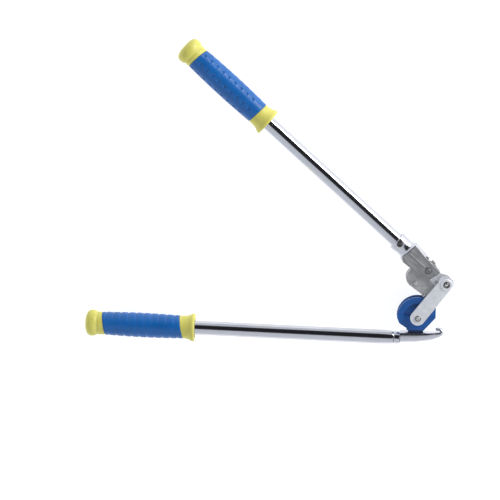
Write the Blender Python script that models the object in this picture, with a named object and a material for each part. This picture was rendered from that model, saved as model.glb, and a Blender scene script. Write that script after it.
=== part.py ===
"""Two-handled strapping tensioner tool, lying on its side. Blender 4.5, metres, +Z up.

Every pivot axis is parallel to Z. The head is drawn around the axis of the former wheel,
with X along the lower handle. The whole tool is then shifted so that the origin is at the
middle of the underside of its box.
"""
import math

import bmesh
import bpy
from mathutils import Matrix, Vector

MM = 0.001

# ---- driving dimensions, millimetres and degrees, measured from the former wheel's axis ----
FIT_GAP = 0.3                      # clearance between neighbouring pieces
TUBE_RADIUS = 9.0
TUBE_WALL = 1.5

LOWER_AXIS_Y = -28.6               # centre line of the lower handle
LOWER_CAP_X = -414.4               # outer end of the lower grip
UPPER_SLOPE = -40.3                # direction of the upper handle, grip to head
HANDLE_RIVET = (9.4, 60.7)         # pivot of the upper handle
UPPER_CAP_S = -404.1               # outer end of the upper grip, along the handle

GRIP_LENGTH = 137.5
GRIP_CAP_RADIUS = 16.5
GRIP_NECK_RADIUS = 14.2
GRIP_FLANGE_RADIUS = 17.5
SLEEVE_START = 22.5
SLEEVE_END = 119.8
SLEEVE_END_RADIUS = 14.4
SLEEVE_MID_RADIUS = 15.5
SLEEVE_BORE = 12.0

SHOE_PIN = (32.6, 44.3)            # pivot of the shoe in the yoke
SHOE_RIVET = (-4.9, 43.5)
ROLLER = (6.7, 29.0)
ROLLER_RADIUS = 3.9
STOP_PIN = (20.3, 47.0)            # cross pin that limits the shoe's swing

FORMER_RADIUS = 25.5
FORMER_HALF = 7.4                  # half thickness of the former wheel
FORMER_BASE = -16.2
FORMER_FLAT_X = 22.0
FOOT_TILT = 1.95                   # foot and wheel are level, the lower handle slopes
FOOT_HALF = 7.6
FOOT_TOP = -20.1

YOKE_INNER = 8.6                   # half width of the slot between the yoke's arms
YOKE_OUTER = 12.6
YOKE_HALF_WIDTH = 9.2
YOKE_SHIFT = 0.4                   # the arm lies this far to the left of the line of its pins
CHEEK_OUTER = 12.1
SHOE_OUTER = 8.3
SHOE_WALL = 3.0

PIN_RADIUS = 3.0
SMALL_PIN_RADIUS = 1.6
SCREW_RADIUS = 2.0
STOP_SCREW_N = 8.4                 # stop screw's distance from the handle's centre line

BOX_CENTRE = (-186.6, 142.75)      # middle of the tool's outline from above
REST_HEIGHT = GRIP_FLANGE_RADIUS   # the tool lies on its grip flanges

ROUND = 32                         # sides of a large round piece
SMALL_ROUND = 20                   # sides of a pin


def clear_scene():
    for obj in list(bpy.data.objects):
        bpy.data.objects.remove(obj, do_unlink=True)


# ---- materials ----
def material(name, colour, roughness, metallic):
    mat = bpy.data.materials.new(name)
    mat.use_nodes = True
    shader = mat.node_tree.nodes["Principled BSDF"]
    shader.inputs["Base Color"].default_value = (*colour, 1.0)
    shader.inputs["Roughness"].default_value = roughness
    shader.inputs["Metallic"].default_value = metallic
    return mat


def make_materials():
    return {
        "chrome": material("chrome", (0.78, 0.79, 0.82), 0.12, 1.0),
        "cast": material("cast", (0.50, 0.50, 0.50), 0.50, 1.0),
        "steel": material("steel", (0.55, 0.55, 0.56), 0.30, 1.0),
        "former_blue": material("former_blue", (0.02, 0.10, 0.42), 0.35, 0.0),
        "grip_blue": material("grip_blue", (0.02, 0.13, 0.45), 0.50, 0.0),
        "grip_yellow": material("grip_yellow", (0.82, 0.80, 0.20), 0.45, 0.0),
    }


# ---- outlines and placing ----
def arc(centre, radius, start, end, steps):
    """Points on an arc, angles in degrees, both ends included."""
    points = []
    for i in range(steps + 1):
        angle = math.radians(start + (end - start) * i / steps)
        points.append((centre[0] + radius * math.cos(angle), centre[1] + radius * math.sin(angle)))
    return points


def in_frame(points, origin, angle):
    """Turn points by an angle and move them to an origin."""
    c, s = math.cos(math.radians(angle)), math.sin(math.radians(angle))
    return [(origin[0] + c * x - s * y, origin[1] + s * x + c * y) for x, y in points]


def level(points):
    """Points of the foot and the wheel, drawn level, as they lie on the sloping handle."""
    return in_frame(points, (0.0, 0.0), FOOT_TILT)


YOKE_DIRECTION = math.degrees(math.atan2(SHOE_PIN[1], SHOE_PIN[0]))


def on_yoke(points):
    """Points drawn along the yoke: first number along the arm, second to its left."""
    return in_frame(points, (0.0, 0.0), YOKE_DIRECTION)


def on_handle(points):
    """Points drawn along the upper handle from its rivet, towards the head and to the left."""
    return in_frame(points, HANDLE_RIVET, UPPER_SLOPE)


def place(point, z=0.0):
    """World position in metres of a point of the head."""
    return Vector((point[0] - BOX_CENTRE[0], point[1] - BOX_CENTRE[1], z + REST_HEIGHT)) * MM


# ---- shapes ----
def add_object(name, bm, mat, pivot):
    """Make an object whose origin lies on its pivot axis."""
    bmesh.ops.recalc_face_normals(bm, faces=bm.faces)
    mesh = bpy.data.meshes.new(name)
    origin = place(pivot)
    bmesh.ops.translate(bm, verts=bm.verts, vec=-origin)
    bm.to_mesh(mesh)
    bm.free()
    obj = bpy.data.objects.new(name, mesh)
    obj.location = origin
    bpy.context.scene.collection.objects.link(obj)
    if mat is not None:
        mesh.materials.append(mat)
    return obj


def smooth(obj, angle=35.0):
    obj.data.shade_smooth()
    obj.data.set_sharp_from_angle(angle=math.radians(angle))
    return obj


def plate(name, outline, z0, z1, mat, pivot=(0.0, 0.0)):
    """A flat piece: an outline extruded along Z."""
    bm = bmesh.new()
    low = [bm.verts.new(place(p, z0)) for p in outline]
    high = [bm.verts.new(place(p, z1)) for p in outline]
    bm.faces.new(low)
    bm.faces.new(high)
    count = len(outline)
    for i in range(count):
        j = (i + 1) % count
        bm.faces.new((low[i], low[j], high[j], high[i]))
    return add_object(name, bm, mat, pivot)


def loft(name, sections, mat, pivot=(0.0, 0.0)):
    """A solid through sections that have the same number of points."""
    bm = bmesh.new()
    rings = [[bm.verts.new(p) for p in section] for section in sections]
    bm.faces.new(rings[0])
    bm.faces.new(rings[-1])
    count = len(rings[0])
    for first, second in zip(rings, rings[1:]):
        for i in range(count):
            j = (i + 1) % count
            bm.faces.new((first[i], first[j], second[j], second[i]))
    return smooth(add_object(name, bm, mat, pivot))


def turned(name, profile, matrix, mat, sides=ROUND, closed=False, pivot=(0.0, 0.0)):
    """A turned piece. The profile is a list of (distance along the axis, radius)."""
    bm = bmesh.new()
    rings = []
    for along, radius in profile:
        if radius == 0.0:
            rings.append([bm.verts.new(matrix @ Vector((along, 0.0, 0.0)))])
            continue
        ring = []
        for i in range(sides):
            angle = 2.0 * math.pi * i / sides
            point = Vector((along, radius * math.cos(angle), radius * math.sin(angle)))
            ring.append(bm.verts.new(matrix @ point))
        rings.append(ring)
    pairs = list(zip(rings, rings[1:]))
    if closed:
        pairs.append((rings[-1], rings[0]))
    for first, second in pairs:
        for i in range(sides):
            j = (i + 1) % sides
            corners = [first[i % len(first)], first[j % len(first)],
                       second[j % len(second)], second[i % len(second)]]
            unique = list(dict.fromkeys(corners))
            if len(unique) > 2:
                bm.faces.new(unique)
    return smooth(add_object(name, bm, mat, pivot))


def axis_in_plane(origin, angle, z=0.0):
    """A turned piece's placing when its axis lies in the XY plane."""
    turn = Matrix.Rotation(math.radians(angle), 4, "Z")
    return Matrix.Translation(place(origin, z)) @ turn @ Matrix.Scale(MM, 4)


def axis_up(origin):
    """A turned piece's placing when its axis is parallel to Z, distances from mid-plane."""
    turn = Matrix.Rotation(math.radians(-90.0), 4, "Y")
    return Matrix.Translation(place(origin)) @ turn @ Matrix.Scale(MM, 4)


def cut(obj, cutter, operation="DIFFERENCE"):
    """Apply a cutter with a Boolean modifier that stays on the object."""
    cutter.hide_render = True
    cutter.display_type = "WIRE"
    modifier = obj.modifiers.new(cutter.name, "BOOLEAN")
    modifier.operation = operation
    modifier.solver = "EXACT"
    modifier.object = cutter


def drill(obj, name, centre, radius, z0=-20.0, z1=20.0):
    """A round hole parallel to Z."""
    cut(obj, turned(name, [(z0, 0.0), (z0, radius), (z1, radius), (z1, 0.0)],
                    axis_up(centre), None, SMALL_ROUND))


def pin(name, centre, profile, mat, pivot, sides=SMALL_ROUND):
    return turned(name, profile, axis_up(centre), mat, sides, pivot=pivot)


def ring_up(name, centre, inner, outer, z0, z1, mat, pivot, sides=SMALL_ROUND):
    """A washer, bush or spacer around a pin."""
    loop = [(z0, inner), (z0, outer), (z1, outer), (z1, inner)]
    return turned(name, loop, axis_up(centre), mat, sides, closed=True, pivot=pivot)


# ---- the two handles ----
def grip_core_profile():
    """Yellow core with its knob, neck, covered middle and flange, open towards the head."""
    return [(0.0, 0.0), (0.0, 9.0), (1.2, 13.0), (3.6, 15.6), (7.0, GRIP_CAP_RADIUS),
            (11.0, GRIP_CAP_RADIUS), (13.4, 15.6), (15.4, GRIP_NECK_RADIUS),
            (SLEEVE_START - FIT_GAP, GRIP_NECK_RADIUS), (SLEEVE_START - FIT_GAP, SLEEVE_BORE - FIT_GAP),
            (SLEEVE_END + FIT_GAP, SLEEVE_BORE - FIT_GAP), (SLEEVE_END + FIT_GAP, GRIP_NECK_RADIUS),
            (127.5, 14.6), (132.0, 16.2), (134.0, GRIP_FLANGE_RADIUS),
            (136.6, GRIP_FLANGE_RADIUS), (GRIP_LENGTH, 16.6),
            (GRIP_LENGTH, TUBE_RADIUS + FIT_GAP), (6.0, TUBE_RADIUS + FIT_GAP), (6.0, 0.0)]


def grip_sleeve_profile():
    """Barrel-shaped outside and a straight bore."""
    steps = 6
    outside = []
    for i in range(steps + 1):
        t = i / steps
        along = SLEEVE_START + (SLEEVE_END - SLEEVE_START) * t
        bulge = (SLEEVE_MID_RADIUS - SLEEVE_END_RADIUS) * math.sin(math.pi * t)
        outside.append((along, SLEEVE_END_RADIUS + bulge))
    return [(SLEEVE_START, SLEEVE_BORE)] + outside + [(SLEEVE_END, SLEEVE_BORE)]


def make_grip(prefix, matrix, mats, pivot):
    turned(prefix + "_grip_core", grip_core_profile(), matrix, mats["grip_yellow"], pivot=pivot)
    turned(prefix + "_grip_sleeve", grip_sleeve_profile(), matrix, mats["grip_blue"],
           closed=True, pivot=pivot)


def tube_profile(start, end):
    bore = TUBE_RADIUS - TUBE_WALL
    return [(start, bore), (start, TUBE_RADIUS), (end, TUBE_RADIUS), (end, bore)]


TUBE_INSET = 6.5                   # the tube starts this far inside the grip's end
FERRULE_START = -28.2
FERRULE_END = -21.0
FERRULE_RADIUS = 7.8
SHANK_RADIUS = 6.4
SWAGE_LENGTH = 20.0                # the lower tube narrows over this length to meet the ferrule
SWAGE_RADIUS = 8.0


def make_lower_handle(mats):
    matrix = axis_in_plane((LOWER_CAP_X, LOWER_AXIS_Y), 0.0)
    make_grip("lower", matrix, mats, (0.0, 0.0))
    tube_end = FERRULE_START - FIT_GAP - LOWER_CAP_X
    bore = TUBE_RADIUS - TUBE_WALL
    swage = tube_end - SWAGE_LENGTH
    tube = [(TUBE_INSET, bore), (TUBE_INSET, TUBE_RADIUS), (swage, TUBE_RADIUS),
            (tube_end - 1.0, SWAGE_RADIUS), (tube_end, SWAGE_RADIUS - 0.4),
            (tube_end, SHANK_RADIUS + FIT_GAP), (swage, bore)]
    turned("lower_tube", tube, matrix, mats["chrome"], closed=True)
    inner = SHANK_RADIUS + FIT_GAP
    ferrule = [(0.0, inner), (0.0, FERRULE_RADIUS - 0.4), (0.5, FERRULE_RADIUS),
               (FERRULE_END - FERRULE_START - 0.5, FERRULE_RADIUS),
               (FERRULE_END - FERRULE_START, FERRULE_RADIUS - 0.4),
               (FERRULE_END - FERRULE_START, inner)]
    turned("foot_ferrule", ferrule, axis_in_plane((FERRULE_START, LOWER_AXIS_Y), 0.0),
           mats["chrome"], closed=True)


# ---- foot, former wheel and their fasteners ----
def foot_stations():
    """Sections of the foot, drawn level: point on the flat top, point underneath, half width."""
    tongue = [(x, FOOT_TOP, x, y, FOOT_HALF)
              for x, y in ((-21.3, -33.6), (-13.5, -33.4), (-4.4, -33.3), (3.0, -32.7), (8.7, -32.0))]
    tip = [(13.0, FOOT_TOP, 13.0, -31.4, 7.3), (18.0, FOOT_TOP, 18.0, -30.4, 6.5),
           (22.0, FOOT_TOP, 22.4, -28.9, 5.7), (25.5, FOOT_TOP, 28.0, -26.6, 5.1)]
    hook = [(27.4, -19.9, 31.0, -24.2, 4.7), (28.1, -19.0, 32.8, -19.8, 4.5),
            (27.5, -18.1, 32.0, -16.4, 4.3), (26.6, -17.9, 28.9, -14.5, 4.1),
            (24.8, -18.0, 25.0, -14.1, 3.9), (23.2, -17.6, 23.2, -14.5, 3.6),
            (22.3, -16.7, 22.3, -15.4, 3.1)]
    return tongue + tip + hook


def foot_section(x0, y0, x1, y1, half):
    """One section: flat on top, flat at the sides, round underneath."""
    top = Vector(level([(x0, y0)])[0])
    along = Vector(level([(x1, y1)])[0]) - top
    depth = along.length
    along.normalize()
    round_depth = min(half, 0.7 * depth)
    edge = min(0.5, 0.15 * depth)
    flat = [(edge, -half), (0.0, edge - half), (0.0, half - edge), (edge, half)]
    under = []
    for i in range(13):
        angle = math.pi * i / 12
        under.append((depth - round_depth + round_depth * math.sin(angle), half * math.cos(angle)))
    return [place(top + along * t, z) for t, z in flat + under]


FORMER_SCREW_X = (-7.5, 3.0)


def make_foot(mats):
    foot = loft("foot_hook", [foot_section(*station) for station in foot_stations()],
                mats["chrome"])
    shank_start, shank_end = -62.0, -18.0
    shank = turned("shank_join", [(0.0, 0.0), (0.0, SHANK_RADIUS - 1.0), (1.0, SHANK_RADIUS),
                                  (shank_end - shank_start, SHANK_RADIUS),
                                  (shank_end - shank_start, 0.0)],
                   axis_in_plane((shank_start, LOWER_AXIS_Y), 0.0), None)
    cut(foot, shank, "UNION")
    for i, x in enumerate(FORMER_SCREW_X):
        bore_centre = level([(x, -40.0)])[0]
        bore = turned("screw_bore_%d" % i, [(0.0, 0.0), (0.0, 3.9), (12.0, 3.9),
                                            (12.0, SCREW_RADIUS + FIT_GAP),
                                            (24.0, SCREW_RADIUS + FIT_GAP), (24.0, 0.0)],
                      axis_in_plane(bore_centre, 90.0 + FOOT_TILT), None, SMALL_ROUND)
        cut(foot, bore)


def make_former_seat(mats):
    """Steel pad that holds the wheel's flat base just above the foot."""
    low, high = FOOT_TOP + FIT_GAP, FORMER_BASE - FIT_GAP
    outline = level([(-11.5, low), (7.0, low), (7.0, high), (-11.5, high)])
    seat = plate("former_seat", outline, -5.0, 5.0, mats["steel"])
    for i, x in enumerate(FORMER_SCREW_X):
        centre = level([(x, -40.0)])[0]
        hole = turned("seat_bore_%d" % i, [(0.0, 0.0), (0.0, SCREW_RADIUS + FIT_GAP),
                                           (30.0, SCREW_RADIUS + FIT_GAP), (30.0, 0.0)],
                      axis_in_plane(centre, 90.0 + FOOT_TILT), None, SMALL_ROUND)
        cut(seat, hole)


def former_outline():
    """Round working rim with a flat front, a slanted front corner and a flat base."""
    flat_top = math.degrees(math.acos(FORMER_FLAT_X / FORMER_RADIUS))
    rim = arc((0.0, 0.0), FORMER_RADIUS, flat_top, 182.0, 28)
    return level(rim + [(-22.6, -7.8), (-13.9, -13.6), (-13.4, FORMER_BASE), (8.0, FORMER_BASE),
                        (FORMER_FLAT_X, -0.4)])


def make_former(mats):
    wheel = plate("former_wheel", former_outline(), -FORMER_HALF, FORMER_HALF, mats["former_blue"])
    groove_half, groove_depth = 4.6, 3.2
    floor = FORMER_RADIUS - groove_depth
    outside = FORMER_RADIUS + 4.0
    groove = turned("rim_groove", [(-groove_half, outside), (-groove_half, FORMER_RADIUS - 0.4),
                                   (-groove_half * 0.6, floor + 0.7), (0.0, floor),
                                   (groove_half * 0.6, floor + 0.7),
                                   (groove_half, FORMER_RADIUS - 0.4), (groove_half, outside)],
                    axis_up((0.0, 0.0)), None, 48, closed=True)
    limit = plate("groove_limit", level([(-40.0, -8.5), (-23.5, -8.5), (-23.5, -3.0), (23.0, -3.0),
                                         (40.0, -3.0), (40.0, 40.0), (-40.0, 40.0)]),
                  -8.0, 8.0, None)
    cut(groove, limit, "INTERSECT")
    cut(wheel, groove)
    for side, z in (("near", FORMER_HALF), ("far", -FORMER_HALF)):
        pocket = (arc((0.0, 0.0), 17.5, 20.0, 172.0, 12) + arc((0.0, 0.0), 9.5, 172.0, 20.0, 12))
        depth = 2.6
        cut(wheel, plate("pocket_" + side, level(pocket), z - depth, z + depth, None))
    drill(wheel, "former_bore", (0.0, 0.0), 5.3)
    for i, x in enumerate(FORMER_SCREW_X):
        start = level([(x, FORMER_BASE - 4.0)])[0]
        hole = turned("tapped_bore_%d" % i, [(0.0, 0.0), (0.0, SCREW_RADIUS + FIT_GAP),
                                             (12.0, SCREW_RADIUS + FIT_GAP), (12.0, 0.0)],
                      axis_in_plane(start, 90.0 + FOOT_TILT), None, SMALL_ROUND)
        cut(wheel, hole)
    ring_up("former_bush", (0.0, 0.0), PIN_RADIUS + FIT_GAP, 5.0, -FORMER_HALF, FORMER_HALF,
            mats["steel"], (0.0, 0.0))


def make_former_screws(mats):
    """Two cap screws from under the foot, through the seat and into the wheel."""
    for name, x in zip(("former_screw_rear", "former_screw_front"), FORMER_SCREW_X):
        start = level([(x, -31.0)])[0]
        profile = [(1.6, 0.0), (1.6, 1.5), (0.0, 1.5), (0.0, 3.5), (2.7, 3.5), (2.7, SCREW_RADIUS),
                   (22.0, SCREW_RADIUS), (22.0, 0.0)]
        turned(name, profile, axis_in_plane(start, 90.0 + FOOT_TILT), mats["steel"], 12)


# ---- yoke and its pins ----
def yoke_outline():
    """Arm with a round lower end, a head with an ear on the left, and a rounded top."""
    lower_end = arc((0.0, YOKE_SHIFT), YOKE_HALF_WIDTH, 90.0, 270.0, 12)
    corner = arc((56.5, 0.5), 8.1, -88.0, 0.0, 8)
    return on_yoke(lower_end + corner + [(64.8, 7.0), (61.4, 15.0), (49.3, 19.8), (46.4, 20.0),
                                         (44.9, YOKE_HALF_WIDTH + YOKE_SHIFT)])


def make_yoke(mats):
    head = SHOE_PIN
    yoke = plate("yoke", yoke_outline(), -YOKE_OUTER, YOKE_OUTER, mats["cast"])
    slot = on_yoke([(-20.0, -25.0), (54.0, -25.0), (54.0, -6.1), (58.5, -6.1), (62.0, -3.0),
                    (62.0, 6.4), (59.0, 14.2), (59.1, 30.0), (-20.0, 30.0)])
    cut(yoke, plate("yoke_slot", slot, -YOKE_INNER, YOKE_INNER, None))
    for side, sign in (("near", 1.0), ("far", -1.0)):
        boss = pin("boss_" + side, head, [(sign * 11.0, 0.0), (sign * 11.0, 7.2),
                                          (sign * 13.2, 7.2), (sign * 13.8, 6.6),
                                          (sign * 13.8, 0.0)], None, head, ROUND)
        cut(yoke, boss, "UNION")
        recess = pin("recess_" + side, head, [(sign * 12.4, 0.0), (sign * 12.4, 4.4),
                                              (sign * 16.0, 4.4), (sign * 16.0, 0.0)],
                     None, head)
        cut(yoke, recess)
    drill(yoke, "yoke_axle_hole", (0.0, 0.0), PIN_RADIUS + FIT_GAP)
    drill(yoke, "yoke_pin_hole", head, PIN_RADIUS + FIT_GAP)
    drill(yoke, "yoke_stop_hole", STOP_PIN, SMALL_PIN_RADIUS + FIT_GAP)


def clipped_pin_profile(head_base, head_top, head_radius, far_end):
    """A pin with a domed head, a straight shank and a groove for its clip."""
    groove = far_end + 1.3
    return [(far_end, 0.0), (far_end, PIN_RADIUS - 0.5), (far_end + 0.5, PIN_RADIUS),
            (groove, PIN_RADIUS), (groove, PIN_RADIUS - 0.8), (groove + 1.0, PIN_RADIUS - 0.8),
            (groove + 1.0, PIN_RADIUS), (head_base, PIN_RADIUS), (head_base, head_radius),
            (head_top - 0.5, head_radius), (head_top, head_radius - 1.2), (head_top + 0.2, 0.0)]


def clip(name, centre, z0, z1, mats, pivot):
    """An open retaining clip in a pin's groove."""
    inner = PIN_RADIUS - 0.5
    outer = PIN_RADIUS + 1.9
    outline = arc(centre, outer, -55.0, 235.0, 14) + arc(centre, inner, 235.0, -55.0, 14)
    plate(name, outline, z0, z1, mats["steel"], pivot)


def make_yoke_pins(mats):
    wheel = (0.0, 0.0)
    far_end = -16.2
    pin("former_axle", wheel, clipped_pin_profile(12.9, 14.3, 4.0, far_end), mats["steel"], wheel)
    clip("former_axle_clip", wheel, far_end + 1.5, far_end + 2.1, mats, wheel)
    for side, z0 in (("near", 7.7), ("far", -8.3)):
        ring_up("former_washer_" + side, wheel, PIN_RADIUS + FIT_GAP, 7.0, z0, z0 + 0.6,
                mats["steel"], wheel)
    pin("shoe_pin", SHOE_PIN, clipped_pin_profile(12.7, 13.9, 3.8, far_end), mats["steel"], SHOE_PIN)
    clip("shoe_pin_clip", SHOE_PIN, far_end + 1.5, far_end + 2.1, mats, SHOE_PIN)
    slot_start, slot_end = 30.0, 330.0
    outer, inner = SMALL_PIN_RADIUS, SMALL_PIN_RADIUS - 0.6
    roll = arc(STOP_PIN, outer, slot_start, slot_end, 14)
    roll += arc(STOP_PIN, inner, slot_end, slot_start, 14)
    plate("shoe_stop_pin", roll, -YOKE_OUTER, YOKE_OUTER, mats["steel"], STOP_PIN)


# ---- shoe with its roller ----
SHOE_HEAD_RADIUS = 6.2             # round end of the shoe at the handle's rivet
SHOE_EYE_RADIUS = 5.6              # round end of the shoe at its own pin
SHOE_DIP = 56.0                    # height of the shoe's top edge under the yoke's bridge


def shoe_outline():
    """Side view of the shoe: round left end, straight underside, two eyes."""
    pin_along = math.hypot(*SHOE_PIN)
    rise = math.degrees(math.asin((SHOE_DIP - pin_along) / SHOE_EYE_RADIUS))
    eye = arc(SHOE_PIN, SHOE_EYE_RADIUS, -132.0, YOKE_DIRECTION + 90.0 - rise, 14)
    head_start = YOKE_DIRECTION - 90.0 + 14.0
    head = arc(HANDLE_RIVET, SHOE_HEAD_RADIUS, head_start, 118.0, 8)
    return ([(-10.9, 60.6), (-15.4, 56.0), (-17.5, 50.7), (-16.3, 45.6), (-13.2, 41.4),
             (2.9, 30.0), (6.8, 27.2), (9.2, 27.4)] + eye + head)


def make_shoe(mats):
    shoe = plate("shoe_bracket", shoe_outline(), -SHOE_OUTER, SHOE_OUTER, mats["cast"], SHOE_PIN)
    inside = [(-8.1, 80.0), (-8.3, 59.2), (-12.6, 54.9), (-14.4, 50.7), (-13.3, 46.9),
              (-10.6, 43.6), (-10.6, 15.0), (60.0, 15.0), (60.0, 80.0)]
    half = SHOE_OUTER - SHOE_WALL
    cut(shoe, plate("shoe_channel", inside, -half, half, None))
    drill(shoe, "shoe_pin_eye", SHOE_PIN, PIN_RADIUS + FIT_GAP)
    drill(shoe, "shoe_head_eye", HANDLE_RIVET, PIN_RADIUS + FIT_GAP)
    drill(shoe, "shoe_rivet_hole", SHOE_RIVET, 2.7)
    drill(shoe, "shoe_roller_hole", ROLLER, SMALL_PIN_RADIUS + FIT_GAP)
    swing = Vector(STOP_PIN) - Vector(SHOE_PIN)
    start = math.degrees(math.atan2(swing.y, swing.x))
    sweep = 11.0
    clearance = 0.6
    wide = swing.length + SMALL_PIN_RADIUS + clearance
    tight = swing.length - SMALL_PIN_RADIUS - clearance
    slot = (arc(SHOE_PIN, wide, start - sweep, start + 2.0 * sweep, 8)
            + arc(SHOE_PIN, tight, start + 2.0 * sweep, start - sweep, 8))
    cut(shoe, plate("shoe_stop_slot", slot, -20.0, 20.0, None))
    rivet = [(-9.4, 0.0), (-9.4, 1.8), (-8.6, 3.1), (-8.6, 2.4), (8.6, 2.4), (8.6, 3.1),
             (9.4, 1.8), (9.4, 0.0)]
    pin("shoe_rivet", SHOE_RIVET, rivet, mats["steel"], SHOE_PIN)
    ring_up("shoe_spacer", SHOE_RIVET, 2.7, 4.2, -5.0, 5.0, mats["steel"], SHOE_PIN)
    ring_up("shoe_pin_bush", SHOE_PIN, PIN_RADIUS + FIT_GAP, 5.0, -5.0, 5.0, mats["steel"], SHOE_PIN)
    ring_up("handle_pivot_bush", HANDLE_RIVET, PIN_RADIUS + FIT_GAP, 4.0, -5.0, 5.0,
            mats["steel"], SHOE_PIN)
    pin("roller_pin", ROLLER, [(-8.3, 0.0), (-8.3, 1.2), (-7.9, SMALL_PIN_RADIUS),
                               (7.9, SMALL_PIN_RADIUS), (8.3, 1.2), (8.3, 0.0)],
        mats["steel"], SHOE_PIN)
    loop = [(-5.0, 1.9), (-5.0, ROLLER_RADIUS - 0.4), (-4.6, ROLLER_RADIUS), (4.6, ROLLER_RADIUS),
            (5.0, ROLLER_RADIUS - 0.4), (5.0, 1.9)]
    turned("pressure_roller", loop, axis_up(ROLLER), mats["steel"], SMALL_ROUND, closed=True,
           pivot=ROLLER)


# ---- upper handle ----
SOCKET_START = -53.0
SOCKET_BORE_END = -37.0
CHEEK_END_RADIUS = 9.2             # round end of the cheeks about the rivet


def cheek_outline():
    """Tapered plate, round under the rivet and straight where it meets the yoke's ear."""
    tangent = -15.9
    round_end = arc((0.0, 0.0), CHEEK_END_RADIUS, -100.0, tangent, 7)
    return on_handle(round_end + [(11.9, 8.2), (-7.6, 9.5), (-17.7, 10.2), (-29.4, 12.0),
                                  (-32.4, 9.4), (-33.6, -1.1), (-34.8, -7.2), (-33.6, -11.2),
                                  (-29.9, -13.4), (-12.5, -12.4)])


def make_cheeks(mats):
    for side, z0, z1 in (("near", YOKE_INNER, CHEEK_OUTER), ("far", -CHEEK_OUTER, -YOKE_INNER)):
        cheek = plate(side + "_cheek", cheek_outline(), z0, z1, mats["cast"], HANDLE_RIVET)
        drill(cheek, side + "_cheek_hole", HANDLE_RIVET, PIN_RADIUS + FIT_GAP)


def make_socket(mats):
    """Chromed socket: round where it takes the tube, cut down between the cheeks."""
    matrix = axis_in_plane(HANDLE_RIVET, UPPER_SLOPE)
    profile = [(SOCKET_BORE_END, 0.0), (SOCKET_BORE_END, TUBE_RADIUS + FIT_GAP),
               (SOCKET_START, TUBE_RADIUS + FIT_GAP), (SOCKET_START, 11.3),
               (SOCKET_START + 0.6, 11.9), (-46.0, 11.7), (-42.0, 11.1), (-38.5, 11.2),
               (-35.5, 12.6), (-33.0, 14.2), (-24.0, 13.6), (-13.0, 12.4), (-13.0, 0.0)]
    socket = turned("handle_socket", profile, matrix, mats["chrome"], 40, pivot=HANDLE_RIVET)
    half = YOKE_INNER - FIT_GAP
    shoulder = [(-35.4, -20.0), (-10.0, -20.0), (-10.0, 20.0), (-33.0, 20.0), (-33.6, 9.4),
                (-34.6, -1.1), (-35.6, -7.2)]
    for side, z0, z1 in (("near", half, 20.0), ("far", -20.0, -half)):
        cut(socket, plate("flat_" + side, on_handle(shoulder), z0, z1, None))
    mouth = [(-31.2, -20.0), (0.0, -20.0), (0.0, 6.6), (-26.0, 6.6), (-31.2, 1.4)]
    cut(socket, plate("socket_mouth", on_handle(mouth), -15.0, 15.0, None))
    screw_at = on_handle([(-48.2, 0.0)])[0]
    drill(socket, "set_screw_bore", screw_at, 3.3, 7.0, 20.0)
    profile = [(9.6, 0.0), (9.6, 2.6), (10.0, 3.0), (11.7, 3.0), (11.7, 1.6), (10.4, 1.6),
               (10.4, 0.0)]
    turned("set_screw", profile, axis_up(screw_at), mats["steel"], 12, pivot=HANDLE_RIVET)


def make_handle_stop(mats):
    """Cross bar between the cheeks with a stop screw and its lock nut."""
    block_half = 4.4
    bar = plate("stop_bar", on_handle([(-3.6, 6.6), (1.4, 6.6), (1.4, 9.2), (-3.6, 9.2)]),
                -SHOE_OUTER, SHOE_OUTER, mats["cast"], HANDLE_RIVET)
    boss = plate("stop_boss", on_handle([(-3.6, 5.0), (1.4, 5.0), (1.4, 11.0), (0.4, 12.2),
                                         (-2.6, 12.2), (-3.6, 11.0)]),
                 -block_half, block_half, None)
    cut(bar, boss, "UNION")
    matrix = axis_in_plane(on_handle([(0.0, STOP_SCREW_N)])[0], UPPER_SLOPE)
    bore = SCREW_RADIUS + FIT_GAP
    cut(bar, turned("stop_bore", [(-20.0, 0.0), (-20.0, bore), (20.0, bore), (20.0, 0.0)],
                    matrix, None, SMALL_ROUND))
    screw = [(-6.4, 0.0), (-6.4, 1.4), (-8.6, 1.4), (-8.6, 3.4), (-8.2, 3.9), (-4.0, 3.9),
             (-4.0, SCREW_RADIUS), (9.8, SCREW_RADIUS), (10.6, 1.2), (10.6, 0.0)]
    turned("stop_screw", screw, matrix, mats["steel"], 16, pivot=HANDLE_RIVET)
    nut = [(1.8, bore), (1.8, 3.9), (4.9, 3.9), (4.9, bore)]
    turned("stop_nut", nut, matrix, mats["steel"], 6, closed=True, pivot=HANDLE_RIVET)


def make_upper_handle(mats):
    matrix = axis_in_plane(on_handle([(UPPER_CAP_S, 0.0)])[0], UPPER_SLOPE)
    make_grip("upper", matrix, mats, HANDLE_RIVET)
    tube_end = SOCKET_BORE_END - FIT_GAP - UPPER_CAP_S
    turned("upper_tube", tube_profile(TUBE_INSET, tube_end), matrix, mats["chrome"], closed=True,
           pivot=HANDLE_RIVET)
    rivet = [(-13.8, 0.0), (-13.8, 2.4), (-12.4, 4.1), (-12.4, PIN_RADIUS), (12.4, PIN_RADIUS),
             (12.4, 4.1), (13.2, 4.1), (13.2, 2.6), (12.9, 2.2), (12.9, 0.0)]
    pin("handle_rivet", HANDLE_RIVET, rivet, mats["steel"], HANDLE_RIVET)


def build():
    clear_scene()
    mats = make_materials()
    make_lower_handle(mats)
    make_foot(mats)
    make_former_seat(mats)
    make_former(mats)
    make_former_screws(mats)
    make_yoke(mats)
    make_yoke_pins(mats)
    make_shoe(mats)
    make_cheeks(mats)
    make_socket(mats)
    make_handle_stop(mats)
    make_upper_handle(mats)


build()
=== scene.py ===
"""Looks of the two-handled strapping tensioner tool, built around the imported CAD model.

Plan positions are millimetres from the axis of the former wheel, with X along the lower
handle, as in the CAD model. Heights are millimetres above the tool's middle plane.
"""

import math

import bmesh
import bpy
from mathutils import Matrix, Vector


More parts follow.
